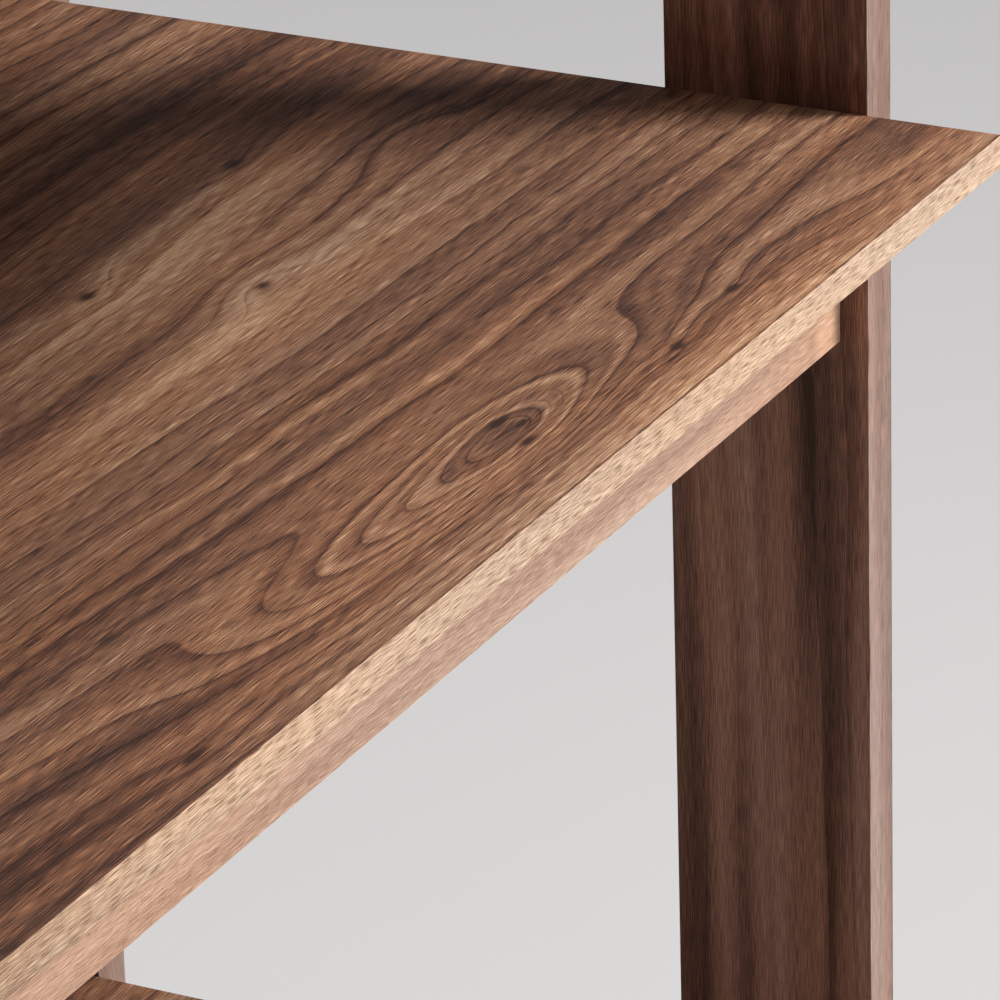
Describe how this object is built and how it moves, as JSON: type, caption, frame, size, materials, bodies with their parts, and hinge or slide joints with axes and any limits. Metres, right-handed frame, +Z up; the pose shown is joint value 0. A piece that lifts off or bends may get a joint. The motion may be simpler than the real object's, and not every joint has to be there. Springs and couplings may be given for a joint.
{
  "type": "bookcase with adjustable shelves",
  "caption": "Open walnut bookcase: board posts, aprons and side rails carry fixed shelves that overhang in front; adjustable shelves stand on metal pins.",
  "frame": {"origin": "on the floor, at the centre of the overall length and depth", "axes": "+Z up, +X along the shelves to the right seen from the front, +Y towards the back"},
  "size_m": [0.9, 0.46, 1.8],
  "materials": {
    "walnut_veneer": "open-grain satin lacquer",
    "walnut_post": "open-grain satin lacquer",
    "walnut_rail": "open-grain satin lacquer",
    "pale_edge_band": "satin lacquer",
    "beech_dowel": "bare",
    "nickel_steel": "satin nickel plated",
    "zinc_steel": "zinc plated",
    "glide_plastic": "moulded"
  },
  "bodies": {
    "root": {"front_left_post": "walnut_post", "front_right_post": "walnut_post", "back_left_post": "walnut_post", "back_right_post": "walnut_post", "bottom_shelf_panel": "walnut_veneer", "bottom_shelf_edge_band": "pale_edge_band", "bottom_front_apron": "walnut_rail", "bottom_back_apron": "walnut_rail", "bottom_left_side_rail": "walnut_rail", "bottom_right_side_rail": "walnut_rail", "middle_shelf_panel": "walnut_veneer", "middle_shelf_edge_band": "pale_edge_band", "middle_front_apron": "walnut_rail", "middle_back_apron": "walnut_rail", "middle_left_side_rail": "walnut_rail", "middle_right_side_rail": "walnut_rail", "top_shelf_panel": "walnut_veneer", "top_shelf_edge_band": "pale_edge_band", "top_front_apron": "walnut_rail", "top_back_apron": "walnut_rail", "top_left_side_rail": "walnut_rail", "top_right_side_rail": "walnut_rail", "connector_bolts": "zinc_steel", "barrel_nuts": "zinc_steel", "apron_dowels": "beech_dowel", "side_rail_dowels": "beech_dowel", "shelf_brackets": "zinc_steel", "bracket_screws": "zinc_steel", "floor_glides": "glide_plastic", "glide_nails": "zinc_steel"},
    "lower_shelf": {"lower_adjustable_shelf_panel": "walnut_veneer", "lower_adjustable_shelf_edge_band": "pale_edge_band", "lower_adjustable_front_batten": "walnut_rail", "lower_adjustable_back_batten": "walnut_rail"},
    "lower_front_left_pin": {"lower_front_left_shelf_pin": "nickel_steel"},
    "lower_front_right_pin": {"lower_front_right_shelf_pin": "nickel_steel"},
    "lower_back_left_pin": {"lower_back_left_shelf_pin": "nickel_steel"},
    "lower_back_right_pin": {"lower_back_right_shelf_pin": "nickel_steel"},
    "centre_shelf": {"centre_adjustable_shelf_panel": "walnut_veneer", "centre_adjustable_shelf_edge_band": "pale_edge_band", "centre_adjustable_front_batten": "walnut_rail", "centre_adjustable_back_batten": "walnut_rail"},
    "centre_front_left_pin": {"centre_front_left_shelf_pin": "nickel_steel"},
    "centre_front_right_pin": {"centre_front_right_shelf_pin": "nickel_steel"},
    "centre_back_left_pin": {"centre_back_left_shelf_pin": "nickel_steel"},
    "centre_back_right_pin": {"centre_back_right_shelf_pin": "nickel_steel"},
    "upper_shelf": {"upper_adjustable_shelf_panel": "walnut_veneer", "upper_adjustable_shelf_edge_band": "pale_edge_band", "upper_adjustable_front_batten": "walnut_rail", "upper_adjustable_back_batten": "walnut_rail"},
    "upper_front_left_pin": {"upper_front_left_shelf_pin": "nickel_steel"},
    "upper_front_right_pin": {"upper_front_right_shelf_pin": "nickel_steel"},
    "upper_back_left_pin": {"upper_back_left_shelf_pin": "nickel_steel"},
    "upper_back_right_pin": {"upper_back_right_shelf_pin": "nickel_steel"}
  },
  "joints": [
    {"name": "lower_shelf_lift", "type": "slide", "parent": "root", "child": "lower_shelf", "axis": [0, 0, 1], "range_m": [0, 0.3165]},
    {"name": "lower_front_left_pin_pull", "type": "slide", "parent": "root", "child": "lower_front_left_pin", "axis": [1, 0, 0], "range_m": [0, 0.0095]},
    {"name": "lower_front_right_pin_pull", "type": "slide", "parent": "root", "child": "lower_front_right_pin", "axis": [-1, 0, 0], "range_m": [0, 0.0095]},
    {"name": "lower_back_left_pin_pull", "type": "slide", "parent": "root", "child": "lower_back_left_pin", "axis": [1, 0, 0], "range_m": [0, 0.0095]},
    {"name": "lower_back_right_pin_pull", "type": "slide", "parent": "root", "child": "lower_back_right_pin", "axis": [-1, 0, 0], "range_m": [0, 0.0095]},
    {"name": "centre_shelf_lift", "type": "slide", "parent": "root", "child": "centre_shelf", "axis": [0, 0, 1], "range_m": [0, 0.281]},
    {"name": "centre_front_left_pin_pull", "type": "slide", "parent": "root", "child": "centre_front_left_pin", "axis": [1, 0, 0], "range_m": [0, 0.0095]},
    {"name": "centre_front_right_pin_pull", "type": "slide", "parent": "root", "child": "centre_front_right_pin", "axis": [-1, 0, 0], "range_m": [0, 0.0095]},
    {"name": "centre_back_left_pin_pull", "type": "slide", "parent": "root", "child": "centre_back_left_pin", "axis": [1, 0, 0], "range_m": [0, 0.0095]},
    {"name": "centre_back_right_pin_pull", "type": "slide", "parent": "root", "child": "centre_back_right_pin", "axis": [-1, 0, 0], "range_m": [0, 0.0095]},
    {"name": "upper_shelf_lift", "type": "slide", "parent": "root", "child": "upper_shelf", "axis": [0, 0, 1], "range_m": [0, 0.2885]},
    {"name": "upper_front_left_pin_pull", "type": "slide", "parent": "root", "child": "upper_front_left_pin", "axis": [1, 0, 0], "range_m": [0, 0.0095]},
    {"name": "upper_front_right_pin_pull", "type": "slide", "parent": "root", "child": "upper_front_right_pin", "axis": [-1, 0, 0], "range_m": [0, 0.0095]},
    {"name": "upper_back_left_pin_pull", "type": "slide", "parent": "root", "child": "upper_back_left_pin", "axis": [1, 0, 0], "range_m": [0, 0.0095]},
    {"name": "upper_back_right_pin_pull", "type": "slide", "parent": "root", "child": "upper_back_right_pin", "axis": [-1, 0, 0], "range_m": [0, 0.0095]}
  ]
}
